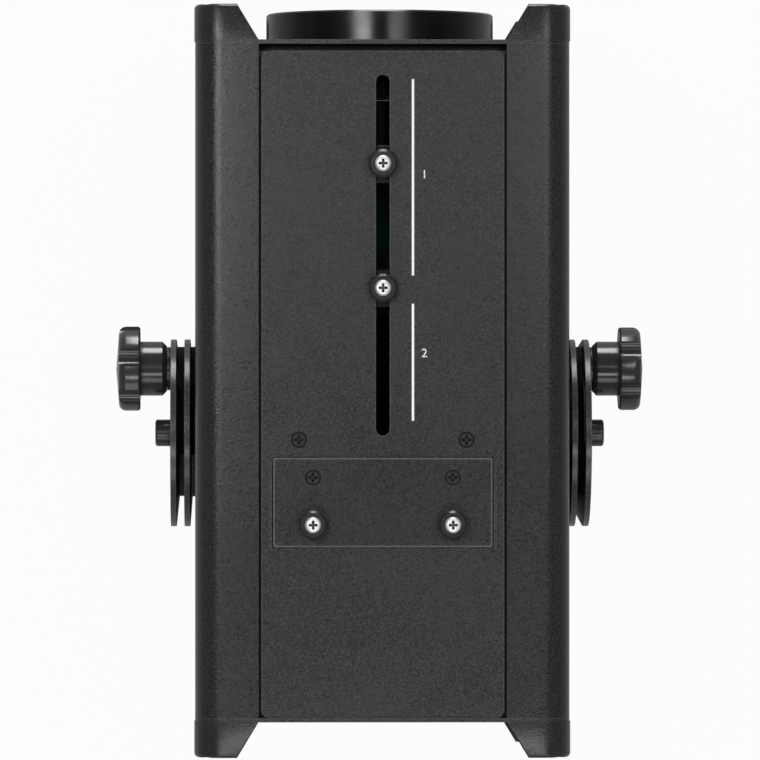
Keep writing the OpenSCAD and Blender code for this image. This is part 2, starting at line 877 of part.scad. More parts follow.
module gobo_bulkhead() color(aluminium) {
    difference() {
        union() {
            along_y(bulkhead_y, bulkhead_y + bulkhead_t) {
                block(2 * rib_x, bulkhead_h);
                block(neck_w, 2 * panel_under);
            }
            for (x = [-1, 1], z = [-1, 1])
                translate([x * panel_screw_x - tab_w / 2, bulkhead_y - tab_l,
                           axis_z + z * (panel_under - tab_t / 2) - tab_t / 2])
                    cube([tab_w, tab_l + bulkhead_t / 2, tab_t]);
            for (x = [-1, 1]) along_y(bulkhead_y, gobo_y + rim_l)
                block(rail_t, holder_low + rail_top, x * (rail_x + rail_t / 2), (rail_top - holder_low) / 2);
        }
        turned(bulkhead_y - cut) cylinder(r = bulkhead_hole, h = bulkhead_t + 2 * cut);
        for (x = [-1, 1]) {
            translate([x * rod_x, 0, 0])
                turned(bulkhead_y - cut) cylinder(r = rod_r, h = bulkhead_t + 2 * cut);
            for (z = [-1, 1])
                translate([x * panel_screw_x, panel_screw_y, axis_z + z * (panel_under - tab_t / 2) - tab_t])
                    cylinder(r = hole_r, h = 2 * tab_t);
        }
    }
}

module gobo_cover() color(satin_black) {
    difference() {
        along_z(cover_z, cover_z + cover_t)
            translate([0, (cover_front + cover_rear) / 2]) rounded(cover_w, cover_l, 0.8);
        both_sides() {
            translate([cover_screw_x, cover_screw_y, axis_z + cover_z + cover_t])
                countersunk_hole(cover_t + cut);
            along_z(cover_z - cut, cover_z + cover_t + cut)
                translate([cover_screw_x, cover_thumb_y]) circle(hole_r);
        }
    }
}

module gobo_holder() color(black) {
    tab_z = cover_z - holder_t;
    difference() {
        union() {
            along_y(holder_y, gobo_y) translate([-holder_w / 2, -holder_low])
                square([holder_w, holder_low + cover_z]);
            along_z(tab_z, cover_z) translate([-holder_w / 2, holder_y]) square([holder_w, holder_tab_l]);
            turned(gobo_y - fit) cylinder(r = gobo_r + rim_t, h = rim_l + fit);
        }
        turned(holder_y - cut)
            cylinder(r = picture_d / 2 + picture_margin, h = holder_t + rim_l + 2 * cut);
        turned(gobo_y) cylinder(r = gobo_r + fit, h = rim_l + cut);
        both_sides() translate([cover_screw_x, cover_screw_y, axis_z + cover_z + cover_t])
            countersunk_hole(cover_t + holder_t + cut);
    }
}

// Metal gobo with a ring of round openings about a central one
module gobo() color(silver) {
    hole = 3.2;
    turned(gobo_y) linear_extrude(gobo_t) difference() {
        circle(gobo_r);
        circle(hole);
        for (ring = [1, 2], i = [0:6 * ring - 1])
            rotate(i * 60 / ring) translate([ring * picture_d / 6, 0]) circle(hole);
    }
}

module gobo_ring() color(silver) {
    ring_r = gobo_r - wire_r;
    turned(gobo_y + gobo_t + wire_r) rotate(90 + wire_gap / 2)
        rotate_extrude(angle = 360 - wire_gap) translate([ring_r, 0]) circle(wire_r, $fn = 16);
}

module cover_screws() color(satin_black) both_sides()
    on_panel(cover_screw_y, cover_screw_x, cover_z + cover_t) countersunk(panel_screw_l);

module gobo_thumb_place(side) {
    on_panel(cover_thumb_y, side * cover_screw_x, cover_z + cover_t + face_gap) children();
}

module left_gobo_knob() color(black) gobo_thumb_place(1) thumb_knob();

module left_gobo_screw() color(silver) gobo_thumb_place(1) thumb_screw(cover_t + panel_t + nut_l);

module right_gobo_knob() color(black) gobo_thumb_place(-1) thumb_knob();

module right_gobo_screw() color(silver) gobo_thumb_place(-1) thumb_screw(cover_t + panel_t + nut_l);

// Light engine

module condenser_housing() color(black) {
    l = sink_y - condenser_y;
    difference() {
        union() {
            turned(condenser_y) cylinder(r = condenser_r, h = l);
            along_y(sink_y - condenser_flange_l, sink_y) block(condenser_flange_w, condenser_flange_w);
        }
        turned(condenser_y - cut) cylinder(r = condenser_lens_r - lens_shoulder, h = l + 2 * cut);
        turned(condenser_y + condenser_lip)
            cylinder(r = condenser_lens_r + fit, h = l - 2 * condenser_lip - led_pocket_l);
        along_y(sink_y - led_pocket_l, sink_y + cut) block(led_board_w + air, led_board_w + air);
    }
}

module condenser_lens_front() color(glass)
    turned(condenser_y + condenser_lip) plano_convex(condenser_lens_r, lens_shoulder, condenser_curve);

module condenser_lens_rear() color(glass)
    turned(sink_y - led_pocket_l - condenser_lip) mirror([0, 0, 1])
        plano_convex(condenser_lens_r, lens_shoulder, condenser_curve);

module led_module() color([0.85, 0.8, 0.35]) {
    along_y(sink_y - led_board_t, sink_y) block(led_board_w, led_board_w);
    turned(sink_y - led_board_t - emitter_t) cylinder(r = emitter_r, h = emitter_t + fit);
}

module heat_sink() color(aluminium) {
    fins = floor((rib_x - fin_t) / fin_pitch);
    along_y(sink_y, sink_y + sink_base_t) block(2 * rib_x, sink_h);
    for (i = [-fins:fins]) along_y(sink_y + sink_base_t / 2, sink_y + sink_base_t + fin_l)
        block(fin_t, sink_h, i * fin_pitch);
}

module fan_frame() color(black) {
    corner = fan_w / 2 - fan_screw_in;
    difference() {
        translate([0, fan_y, floor_z]) union() {
            difference() {
                linear_extrude(fan_h) rounded(fan_w, fan_w, 2.5);
                translate([0, 0, -cut]) cylinder(r = fan_bore, h = fan_h + 2 * cut);
            }
            translate([0, 0, fan_h - strut_t]) {
                cylinder(r = fan_hub, h = strut_t);
                for (a = [45:90:315]) rotate(a) translate([fan_hub - 1, -strut_t / 2, 0])
                    cube([fan_bore - fan_hub + 2, strut_t, strut_t]);
            }
        }
        for (x = [-1, 1], y = [-1, 1]) translate([x * corner, fan_y + y * corner, floor_z - cut])
            cylinder(r = hole_r, h = fan_h + 2 * cut);
        translate([0, fan_y, floor_z]) cylinder(r = shaft_r + fit, h = fan_h + cut);
    }
}

module fan_rotor() color(satin_black) {
    rotor_h = fan_h - strut_t - 2 * face_gap - air;
    tip = fan_bore - 3 * air;
    translate([0, fan_y, floor_z + air]) {
        cylinder(r = fan_hub, h = rotor_h);
        cylinder(r = shaft_r, h = rotor_h + strut_t);
        intersection() {
            tube(tip, fan_hub - 1, rotor_h);
            for (i = [0:blades - 1]) rotate(i * 360 / blades) translate([tip / 2, 0, rotor_h / 2])
                rotate([blade_tilt, 0, 0]) translate([0, -fan_w / 2, 0]) cube([tip + cut, fan_w, blade_t]);
        }
    }
}

// Boards

module standoff_places(z) {
    x = driver_w / 2 - standoff_in;
    for (s = [-1, 1], y = [standoff_in, driver_l - standoff_in])
        translate([s * x, driver_y0 + y, z]) children();
}

module driver_board() color(board_green) {
    z0 = floor_z + standoff_l;
    top = z0 + board_t;
    difference() {
        translate([-driver_w / 2, driver_y0, z0]) cube([driver_w, driver_l, board_t]);
        standoff_places(z0 - cut) cylinder(r = screw_r, h = board_t + 2 * cut);
    }
    standoff_places(floor_z) tube(standoff_r, screw_r, standoff_l);
    for (b = driver_blocks) translate([b[0], driver_y0 + b[1], top]) cube([b[2], b[3], b[4]]);
    for (y = big_can_y) translate([big_can_x, driver_y0 + y, top + big_can_r])
        rotate([0, 90, 0]) cylinder(r = big_can_r, h = big_can_l);
    for (y = small_can_y) translate([small_can_x, driver_y0 + y, top])
        cylinder(r = small_can_r, h = small_can_l);
}

module control_board() color(board_green) {
    along_y(control_y, control_y + board_t) block(control_w, control_h, 0, control_z);
    for (x = [-1, 1], z = [-1, 1])
        translate([x * (control_w / 2 - post_in), 0, control_z + z * (control_h / 2 - post_in)])
            turned(control_y + board_t - fit) cylinder(r = post_r, h = rear_y - control_y - board_t + fit);
    for (i = [0:3]) along_y(control_y + board_t - fit, control_y + board_t + switch_l)
        block(switch_w, switch_w, button_x(i), button_z);
}

module display() color([0.03, 0.03, 0.035])
    along_y(control_y + board_t, plate_out + display_out) block(display_w, display_h, 0, display_z);

function button_x(i) = (1.5 - i) * button_pitch;

module button(i) color(black) translate([button_x(i), 0, button_z]) {
    y1 = plate_out + button_out;
    turned(y1 - button_l) cylinder(r = button_r, h = button_l - button_bevel);
    turned(y1 - button_bevel) cylinder(r1 = button_r, r2 = button_r - button_bevel, h = button_bevel);
    turned(rear_y - face_gap - button_flange_t) cylinder(r = button_flange_r, h = button_flange_t);
}

module button_1() button(0);
module button_2() button(1);
module button_3() button(2);
module button_4() button(3);

// Connectors

module data_shell(x) {
    difference() {
        union() {
            along_y(plate_out, plate_out + data_flange_t) translate([x, data_z]) rounded(data_w, data_h, 3);
            translate([x, 0, data_z]) turned(plate_out - data_l) cylinder(r = data_r, h = data_l + fit);
        }
        for (s = [-1, 1]) translate([x + s * data_screw_x, 0, data_z + s * data_screw_z])
            turned(plate_out + data_flange_t) countersunk_hole(data_flange_t + cut);
        translate([x, 0, data_z]) turned(plate_out + data_flange_t - data_cavity_l)
            cylinder(r = data_cavity_r, h = data_cavity_l + cut);
    }
}

module data_pins(x, r, l) {
    for (a = [90, 210, 330]) translate([x + data_pin_ring * cos(a), 0, data_z - data_pin_ring * sin(a)])
        turned(plate_out + data_flange_t - data_cavity_l - fit) cylinder(r = r, h = l + fit);
}

module data_in() color(black) {
    data_shell(data_x);
    data_pins(data_x, data_pin_r, data_pin_l);
}

module data_out() color(black) {
    data_shell(-data_x);
    difference() {
        translate([-data_x, 0, data_z]) turned(plate_out + data_flange_t - data_cavity_l - fit)
            cylinder(r = data_insert_r, h = data_insert_l);
        translate([0, data_cavity_l - data_pin_l, 0]) data_pins(-data_x, data_pin_r, data_cavity_l);
    }
}

module socket_outline() {
    w = socket_w / 2;
    h = socket_opening_h / 2;
    polygon([[-w, -h], [w, -h], [w, h - socket_cut], [w - socket_cut, h], [socket_cut - w, h],
             [-w, h - socket_cut]]);
}

module power_inlet() color(black) translate([0, 0, inlet_z]) {
    face = plate_out + inlet_flange_t;
    difference() {
        union() {
            along_y(plate_out, face) rounded(inlet_w, inlet_h, 4);
            along_y(plate_out - inlet_l, plate_out + fit) block(inlet_body_w, inlet_body_h);
        }
        along_y(face - socket_l, face + cut) translate([0, socket_z]) socket_outline();
        along_y(face - drawer_l - air, face + cut) block(drawer_w + air, drawer_h + air, 0, drawer_z);
        for (x = [-1, 1]) translate([x * inlet_screw_x, 0, 0])
            turned(face) countersunk_hole(inlet_flange_t + cut);
    }
    for (x = [-1, 0, 1]) along_y(face - socket_l - fit, face - prong_in)
        block(prong_t, prong_w, x * prong_gap, socket_z + (x == 0 ? prong_step : -prong_step));
}

module fuse_drawer() color(satin_black) translate([0, 0, inlet_z]) {
    face = plate_out + inlet_flange_t;
    difference() {
        along_y(face - drawer_l, face) block(drawer_w, drawer_h, 0, drawer_z);
        along_y(face - drawer_notch_l, face + cut)
            block(drawer_w / 3, drawer_notch_h, 0, drawer_z + (drawer_h - drawer_notch_h) / 2);
        translate([0, face - drawer_l / 2, axis_z + drawer_z])
            cube([drawer_w - 2 * drawer_wall, drawer_l - 2 * drawer_end, drawer_h + cut], center = true);
    }
    translate([drawer_wall - fit - drawer_w / 2, face - drawer_l / 2, axis_z + drawer_z])
        rotate([0, 90, 0]) cylinder(r = fuse_r, h = drawer_w - 2 * drawer_wall + 2 * fit);
}

module connector_screws() color(satin_black) {
    for (x = [-1, 1], s = [-1, 1]) translate([x * data_x + s * data_screw_x, 0, data_z + s * data_screw_z])
        turned(plate_out + data_flange_t) countersunk(connector_screw_l);
    for (x = [-1, 1]) translate([x * inlet_screw_x, 0, inlet_z])
        turned(plate_out + inlet_flange_t) countersunk(connector_screw_l);
}

module safety_eye() color(silver) {
    ring_z = axis_z - panel_top - eye_drop;
    translate([0, eye_y, ring_z]) {
        rotate([90, 0, 0]) mirror([0, 1, 0])
            rotate_extrude(angle = 180) translate([eye_r, 0]) circle(eye_rod_r, $fn = 32);
        for (x = [-1, 1]) translate([x * eye_r, 0, 0]) {
            cylinder(r = eye_rod_r, h = eye_drop + panel_t + cut);
            translate([0, 0, eye_drop + panel_t]) cylinder(r = eye_head_r, h = eye_head_h);
            translate([0, 0, eye_drop - eye_collar_h]) cylinder(r = 2 * eye_rod_r, h = eye_collar_h);
        }
    }
}

// Yokes and clamps

module pad_outline() {
    difference() {
        translate([-stud_r / 2, 0]) long_hole(stud_r + pad_w, pad_w);
        circle(stud_rad + fit);
        translate([-stud_r, 0]) circle(stud_rad + fit);
    }
}

module friction_pads() color([0.03, 0.03, 0.03]) both_sides() {
    along_x(pad1_x, pad1_x + inner_pad_t) pad_outline();
    along_x(pad2_x, pad2_x + outer_pad_t) pad_outline();
}

// Slot that follows the stud about the pivot, its angles counted up from the front
module arc_slot() mirror([1, 0]) {
    r = arc_w / 2;
    reach = 2 * disc_r;
    a = [arc_low, (arc_low + arc_high) / 2, arc_high];
    intersection() {
        difference() {
            circle(stud_r + r);
            circle(stud_r - r);
        }
        polygon(concat([[0, 0]], [for (t = a) [reach * cos(t), reach * sin(t)]]));
    }
    for (t = [a[0], a[2]]) translate([stud_r * cos(t), stud_r * sin(t)]) circle(r);
}

// Round head of a yoke arm, tapering down to the width of the bar
module arm_outline(drop) {
    w = bar_w / 2;
    reach = sqrt(drop * drop + w * w);
    t = atan2(-drop, w) + acos(disc_r / reach);
    p = [disc_r * cos(t), disc_r * sin(t)];
    difference() {
        union() {
            circle(disc_r, $fn = 128);
            polygon([p, [w, -drop], [-w, -drop], [-p[0], p[1]]]);
        }
        circle(stud_rad + fit);
        arc_slot();
    }
}

module yoke(x0, l) {
    x1 = x0 + yoke_t;
    corner = x1 - bend_r;
    both_sides() {
        along_x(x0, x1) arm_outline(l - bend_r);
        translate([corner, pivot_y, axis_z - l + bend_r]) rotate([90, 0, 0]) intersection() {
            translate([0, 0, -bar_w / 2]) tube(bend_r, bend_r - yoke_t, bar_w);
            translate([0, -bend_r, -bar_w]) cube([bend_r, bend_r, 2 * bar_w]);
        }
    }
    difference() {
        translate([-corner, pivot_y - bar_w / 2, axis_z - l]) cube([2 * corner, bar_w, yoke_t]);
        translate([0, pivot_y, axis_z - l - cut]) {
            cylinder(r = clamp_hole_d / 2, h = yoke_t + 2 * cut);
            for (x = [-1, 1]) translate([x * bar_slot_pitch / 2, 0]) linear_extrude(yoke_t + 2 * cut)
                long_hole(bar_slot_l, bar_slot_w);
        }
    }
}

module outer_yoke() color(satin_black) yoke(outer_x, outer_len);

module inner_yoke() color(satin_black) yoke(inner_x, inner_len);

// Turned piece on a cross axis, its local Z pointing away from the housing
module on_side(x, y) {
    translate([x, pivot_y + y, axis_z]) rotate([0, 90, 0]) children();
}

module pivot_screws() color(satin_black) both_sides() {
    on_side(washer_x, 0) difference() {
        union() {
            cylinder(r = socket_d / 2, h = socket_h - socket_bevel);
            translate([0, 0, socket_h - socket_bevel])
                cylinder(r1 = socket_d / 2, r2 = socket_d / 2 - socket_bevel, h = socket_bevel);
            translate([0, 0, rib_x - washer_x]) cylinder(r = stud_rad, h = washer_x - rib_x + fit);
        }
        translate([0, 0, socket_h - socket_depth])
            cylinder(r = socket_hex / sqrt(3), h = socket_depth + cut, $fn = 6);
    }
}

module washers() color(satin_black) both_sides()
    on_side(washer_x, -stud_r) tube(washer_r, stud_rad + fit, washer_t);

// Lobed clamp knob with its stud, its hub starting at local z = 0
module clamp_knob(turn) {
    r = knob_d / 2;
    h = hub_l + knob_h;
    difference() {
        rotate_extrude($fn = 96) polygon(concat(
            [[0, 0], [hub_d / 2 - hub_bevel, 0], [hub_d / 2, hub_bevel], [hub_d / 2, hub_l],
             [r - knob_bevel, hub_l], [r, hub_l + knob_bevel]],
            [for (a = [0:15:90])
                [r - knob_round * (1 - cos(a)), h - knob_dome - knob_round * (1 - sin(a))]],
            [[0, h]]));
        for (i = [0:lobes - 1]) rotate(turn + i * 360 / lobes)
            translate([r + scallop_out, 0, hub_l]) cylinder(r = scallop_r, h = knob_h + cut);
    }
    translate([0, 0, rib_x - hub_x]) cylinder(r = stud_rad, h = hub_x - rib_x + fit);
}

module left_clamp_knob() color(black) on_side(hub_x, -stud_r) clamp_knob(left_turn);

module right_clamp_knob() color(black) mirror([1, 0, 0]) on_side(hub_x, -stud_r) clamp_knob(right_turn);

outer_yoke();
inner_yoke();
left_profile();
right_profile();
top_panel();
bottom_panel();
front_plate();
rear_plate();
front_caps();
rear_caps();
cap_screws();
panel_screws();
lens_hood();
front_bulkhead();
guide_rods();
gobo_bulkhead();
condenser_housing();
condenser_lens_front();
condenser_lens_rear();
led_module();
heat_sink();
fan_frame();
fan_rotor();
driver_board();
control_board();
display();
button_1();
button_2();
button_3();
button_4();
data_in();
data_out();
power_inlet();
fuse_drawer();
connector_screws();
safety_eye();
friction_pads();
pivot_screws();
washers();
left_clamp_knob();
right_clamp_knob();
zoom_tube();
zoom_lens();
zoom_lens_ring();
zoom_knob();
zoom_screw();
focus_carriage();
focus_lens();
focus_lens_ring();
focus_knob();
focus_screw();
gobo_cover();
gobo_holder();
gobo();
gobo_ring();
cover_screws();
left_gobo_knob();
left_gobo_screw();
right_gobo_knob();
right_gobo_screw();
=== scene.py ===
"""Looks of the gobo projector: materials, printed marks, studio light and camera."""
import json
import math

import bmesh
import bpy
from mathutils import Matrix, Vector

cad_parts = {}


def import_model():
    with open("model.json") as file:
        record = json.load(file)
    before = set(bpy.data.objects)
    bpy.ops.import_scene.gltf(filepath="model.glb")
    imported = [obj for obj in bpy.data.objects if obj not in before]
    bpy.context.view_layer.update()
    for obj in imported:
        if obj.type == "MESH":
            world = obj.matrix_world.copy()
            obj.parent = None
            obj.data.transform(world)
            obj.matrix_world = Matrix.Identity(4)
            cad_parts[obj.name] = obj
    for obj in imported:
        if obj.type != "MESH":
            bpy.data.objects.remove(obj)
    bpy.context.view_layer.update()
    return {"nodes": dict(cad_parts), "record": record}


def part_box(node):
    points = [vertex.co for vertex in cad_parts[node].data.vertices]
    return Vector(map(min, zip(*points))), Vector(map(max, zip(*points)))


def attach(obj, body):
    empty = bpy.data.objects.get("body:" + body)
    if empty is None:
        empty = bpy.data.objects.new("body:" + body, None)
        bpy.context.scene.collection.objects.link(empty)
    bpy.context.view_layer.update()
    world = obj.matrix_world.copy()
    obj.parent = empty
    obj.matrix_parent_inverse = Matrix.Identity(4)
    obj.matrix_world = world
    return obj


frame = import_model()
nodes = frame["nodes"]

MM = 0.001


# Node trees

# Most of a noise's values lie between these two
NOISE_LOW = 0.24
NOISE_HIGH = 0.76
# Patches of slightly duller and shinier coat: their noise scale in 1/m and the change in roughness
WEAR_SCALE = 24
WEAR_SPREAD = 0.03
# Painted shade: grooves and recesses are painted darker than open faces, and made duller
GROOVE_REACH = 3.0 * MM
GROOVE_ROUGHNESS = 0.95
# Shares of the sky that a groove's floor and an open face see, for coats and for small recesses
COAT_OPENNESS = (0.3, 0.7)
RECESS_OPENNESS = (0.4, 0.85)
# Width of the band along an outer edge that gets a painted highlight on coats and painted shade on the sunk
# screws, and what marks it
EDGE_REACH = 0.8 * MM
EDGE_OPENNESS = (0.5, 0.9)
AO_SAMPLES = 8


def add(tree, kind, inputs=None, **settings):
    """Adds a node to a tree; an input is a plain value or another node's output."""
    node = tree.nodes.new(kind)
    for key, value in settings.items():
        setattr(node, key, value)
    for key, value in (inputs or {}).items():
        if isinstance(value, bpy.types.NodeSocket):
            tree.links.new(value, node.inputs[key])
        else:
            node.inputs[key].default_value = value
    return node


class Tree:
    """A material's node tree, with short calls for the nodes that repeat."""

    def __init__(self, name):
        self.material = bpy.data.materials.new(name)
        self.material.use_nodes = True
        self.nodes = self.material.node_tree.nodes
        self.links = self.material.node_tree.links
        self.shader = self.nodes["Principled BSDF"]
        self.place = self.nodes.new("ShaderNodeTexCoord").outputs["Object"]

    def add(self, kind, inputs=None, **settings):
        return add(self, kind, inputs, **settings)

    def noise(self, scale, detail=2.0, stretch=None, roughness=0.5):
        place = self.place
        if stretch:
            place = self.add("ShaderNodeMapping", {"Vector": place, "Scale": stretch}).outputs[0]
        settings = {"Vector": place, "Scale": scale, "Detail": detail, "Roughness": roughness}
        return self.add("ShaderNodeTexNoise", settings).outputs["Fac"]

    def span(self, value, low, high, start=0.3, end=0.7):
        inputs = {"Value": value, "From Min": start, "From Max": end, "To Min": low, "To Max": high}
        return self.add("ShaderNodeMapRange", inputs).outputs[0]

    def blend(self, factor, first, second):
        mix = self.add("ShaderNodeMix", data_type="RGBA")
        self.links.new(factor, mix.inputs["Factor"])
        mix.inputs[6].default_value = (*first, 1)
        mix.inputs[7].default_value = (*second, 1)
        return mix.outputs[2]

    def openness(self, shut, opened):
        """0 where less than the share shut of the sky is seen past near faces, 1 over the share opened;
        colours are scaled by it as painted shade.
        """
        seen = self.add("ShaderNodeAmbientOcclusion", {"Distance": GROOVE_REACH}, samples=AO_SAMPLES)
        return self.span(seen.outputs["AO"], 0.0, 1.0, shut, opened)

    def edges(self, reach):
        """1 on an outer edge, 0 further than reach from it."""
        solid = self.add("ShaderNodeAmbientOcclusion", {"Distance": reach}, samples=AO_SAMPLES, inside=True)
        return self.span(solid.outputs["AO"], 1.0, 0.0, *EDGE_OPENNESS)

    def scaled(self, colour, factor):
        return self.add("ShaderNodeVectorMath", {0: colour, "Scale": factor}, operation="SCALE").outputs[0]

    def greater(self, first, second):
        return self.add("ShaderNodeMath", {0: first, 1: second}, operation="MAXIMUM").outputs[0]

    def bump(self, height, depth, under=None):
        node = self.add("ShaderNodeBump", {"Height": height, "Strength": 1.0, "Distance": depth})
        if under is not None:
            self.links.new(under, node.inputs["Normal"])
        return node.outputs[0]

    def surface(self, **inputs):
        for key, value in inputs.items():
            socket = self.shader.inputs[key.replace("_", " ")]
            if isinstance(value, bpy.types.NodeSocket):
                self.links.new(value, socket)
            else:
                socket.default_value = value
        return self.material


def grey(value):
    return (value, value, value * 1.02)


def powder_coat(name, shade, cell, depth, roughness=0.42, speckle=0.3, edge_highlight=0.0):
    """Black coat whose grains are cell wide and depth high; edge_highlight lightens its outer edges as a
    painted highlight, and its grooves get painted shade.
    """
    tree = Tree(name)
    grain = tree.noise(1 / cell, 3, roughness=0.6)
    tint = tree.span(grain, 0.0, 1.0, NOISE_LOW, NOISE_HIGH)
    colour = tree.blend(tint, grey(shade * (1 - speckle)), grey(shade * (1 + speckle)))
    wear = tree.span(tree.noise(WEAR_SCALE, 3), -WEAR_SPREAD, WEAR_SPREAD)
    shine = tree.add("ShaderNodeMath", {0: tree.span(grain, roughness - 0.05, roughness + 0.08), 1: wear})
    normal = tree.bump(tree.noise(0.4 / cell, 2), depth * 0.5, tree.bump(grain, depth))
    # Painted highlight: the outer edges are lightened where real edges would catch the light
    if edge_highlight:
        painted_edge_light = tree.scaled((1.0, 1.0, 1.0), tree.span(tree.edges(EDGE_REACH), 0.0, edge_highlight, 0.0, 1.0))
        colour = tree.add("ShaderNodeVectorMath", {0: colour, 1: painted_edge_light}, operation="ADD").outputs[0]
    # Painted shade: the colour is darkened in grooves and recesses, which are also made matt
    exposed = tree.openness(*COAT_OPENNESS)
    matt = tree.span(exposed, GROOVE_ROUGHNESS, 0.0, 0.0, 1.0)
    return tree.surface(Base_Color=tree.scaled(colour, exposed), Normal=normal,
                        Roughness=tree.greater(shine.outputs[0], matt), Specular_IOR_Level=0.45)


def plastic(name, shade, roughness, specular=0.5, cell=0.4 * MM, depth=0.004 * MM, shaded_rim=False):
    """Smooth black surface with fine unevenness; shaded_rim darkens its outer edges as painted shade and
    dulls them, and recesses get painted shade.
    """
    tree = Tree(name)
    fine = tree.noise(1 / cell, 2)
    colour = tree.blend(tree.span(tree.noise(60, 3), 0, 1), grey(shade * 0.85), grey(shade * 1.15))
    shine = tree.span(tree.noise(90, 3), roughness * 0.85, roughness * 1.2)
    normal = tree.bump(fine, depth)
    # Painted shade: the colour is darkened in recesses, which are also made matt
    exposed = tree.openness(*RECESS_OPENNESS)
    # Painted shade round the rim, which is also made duller
    if shaded_rim:
        inner = tree.span(tree.edges(EDGE_REACH), 1.0, 0.1, 0.0, 1.0)
        exposed = tree.add("ShaderNodeMath", {0: exposed, 1: inner}, operation="MULTIPLY").outputs[0]
    matt = tree.span(exposed, GROOVE_ROUGHNESS, 0.0, 0.0, 1.0)
    return tree.surface(Base_Color=tree.scaled(colour, exposed), Roughness=tree.greater(shine, matt),
                        Normal=normal, Specular_IOR_Level=specular)


def metal(name, colour, roughness, stretch=(1.0, 1.0, 1.0), depth=0.002 * MM, shining=1.0):
    """Bare metal with fine machining lines along the axis that stretch makes long."""
    tree = Tree(name)
    lines = tree.noise(2600, 2, stretch=stretch)
    darker = tuple(c * 0.82 for c in colour)
    tint = tree.blend(tree.span(tree.noise(140, 3), 0, 1), darker, colour)
    shine = tree.span(lines, roughness * 0.8, roughness * 1.3)
    normal = tree.bump(lines, depth)
    # Painted shade: the colour is darkened in recesses
    shaded = tree.scaled(tint, tree.openness(*RECESS_OPENNESS))
    return tree.surface(Base_Color=shaded, Metallic=shining, Roughness=shine, Normal=normal)


# Middle of the LED's emitter, and where its yellow ends
EMITTER_PLACE = (0.0, 0.0604, 0.150)
EMITTER_RIM = (6.8 * MM, 7.2 * MM)


def lens_glass():
    tree = Tree("lens_glass")
    haze = tree.span(tree.noise(70, 3), 0.0, 0.02)
    return tree.surface(Base_Color=(0.93, 0.96, 0.98, 1), Roughness=haze, Transmission_Weight=1.0,
                        IOR=1.52, Coat_Weight=0.4, Coat_Tint=(0.75, 0.7, 1.0, 1))


def circuit_board():
    tree = Tree("board_green")
    tracks = tree.add("ShaderNodeTexBrick", {"Vector": tree.place, "Scale": 260.0, "Mortar Size": 0.06,
                                             "Color1": (0.004, 0.03, 0.012, 1),
                                             "Color2": (0.005, 0.036, 0.015, 1),
                                             "Mortar": (0.012, 0.07, 0.03, 1)})
    normal = tree.bump(tracks.outputs["Fac"], 0.02 * MM)
    return tree.surface(Base_Color=tracks.outputs["Color"], Roughness=0.35, Normal=normal)


def led_board():
    """White board with a round yellow emitter in its middle."""
    tree = Tree("led_yellow")
    reach = tree.add("ShaderNodeVectorMath", {0: tree.place, 1: EMITTER_PLACE}, operation="DISTANCE")
    inside = tree.span(reach.outputs["Value"], 1.0, 0.0, *EMITTER_RIM)
    colour = tree.blend(inside, (0.75, 0.75, 0.72), (0.85, 0.62, 0.06))
    speckle = tree.bump(tree.noise(1500), 0.01 * MM)
    return tree.surface(Base_Color=colour, Roughness=0.4, Normal=speckle)


# Every material here but the glass, boards and ink gets painted shade in grooves and recesses; the last
# figure of panel_coat and yoke_coat is a painted highlight on their outer edges
MATERIALS = {
    "housing_coat": powder_coat("housing_coat", 0.02, 0.6 * MM, 0.1 * MM, 0.16, 0.9),
    "panel_coat": powder_coat("panel_coat", 0.02, 0.6 * MM, 0.08 * MM, 0.26, 0.9, 0.03),
    "yoke_coat": powder_coat("yoke_coat", 0.05, 0.7 * MM, 0.04 * MM, 0.24, 0.6, 0.05),
    "cap_plastic": powder_coat("cap_plastic", 0.02, 0.6 * MM, 0.06 * MM, 0.22, 0.6),
    "knob_plastic": plastic("knob_plastic", 0.03, 0.17, depth=0.0015 * MM),
    "thumb_plastic": plastic("thumb_plastic", 0.014, 0.3),
    "black_anodised": plastic("black_anodised", 0.006, 0.2, 0.35),
    "bright_steel": metal("bright_steel", (0.95, 0.95, 0.96), 0.42, shining=0.8),
    "black_steel": plastic("black_steel", 0.03, 0.25),
    "ground_steel": metal("ground_steel", (0.72, 0.72, 0.74), 0.2, (1.0, 0.05, 1.0)),
    "bare_aluminium": metal("bare_aluminium", (0.74, 0.75, 0.77), 0.36, (0.06, 1.0, 1.0)),
    "lens_glass": lens_glass(),
    "board_green": circuit_board(),
    "led_yellow": led_board(),
    "display_black": plastic("display_black", 0.004, 0.06, depth=0.0),
    "fitting_plastic": plastic("fitting_plastic", 0.016, 0.4),
    "pad_fibre": plastic("pad_fibre", 0.006, 0.7, 0.3, 0.5 * MM, 0.03 * MM),
}


# The cover's edges get a stronger painted highlight than the panel's
COVER_COAT = powder_coat("cover_coat", 0.015, 0.6 * MM, 0.08 * MM, 0.26, 0.9, 0.14)
# The sunk screws get painted shade round the rim of their heads, which is also duller
SUNK_STEEL = plastic("sunk_steel", 0.03, 0.22, 0.6, 0.5 * MM, 0.03 * MM, True)


def dress():
    """Gives every node its slot's material."""
    for part in frame["record"]["subparts"]:
        mesh = nodes[part["node"]].data
        mesh.materials.clear()
        mesh.materials.append(MATERIALS[part["material_slot"]])
    nodes["gobo_cover"].data.materials[0] = COVER_COAT
    for name in ("panel_screws", "cover_screws"):
        nodes[name].data.materials[0] = SUNK_STEEL


# Softened edges

# Only edges sharper than this are bevelled
SMOOTH_ANGLE = math.radians(32)
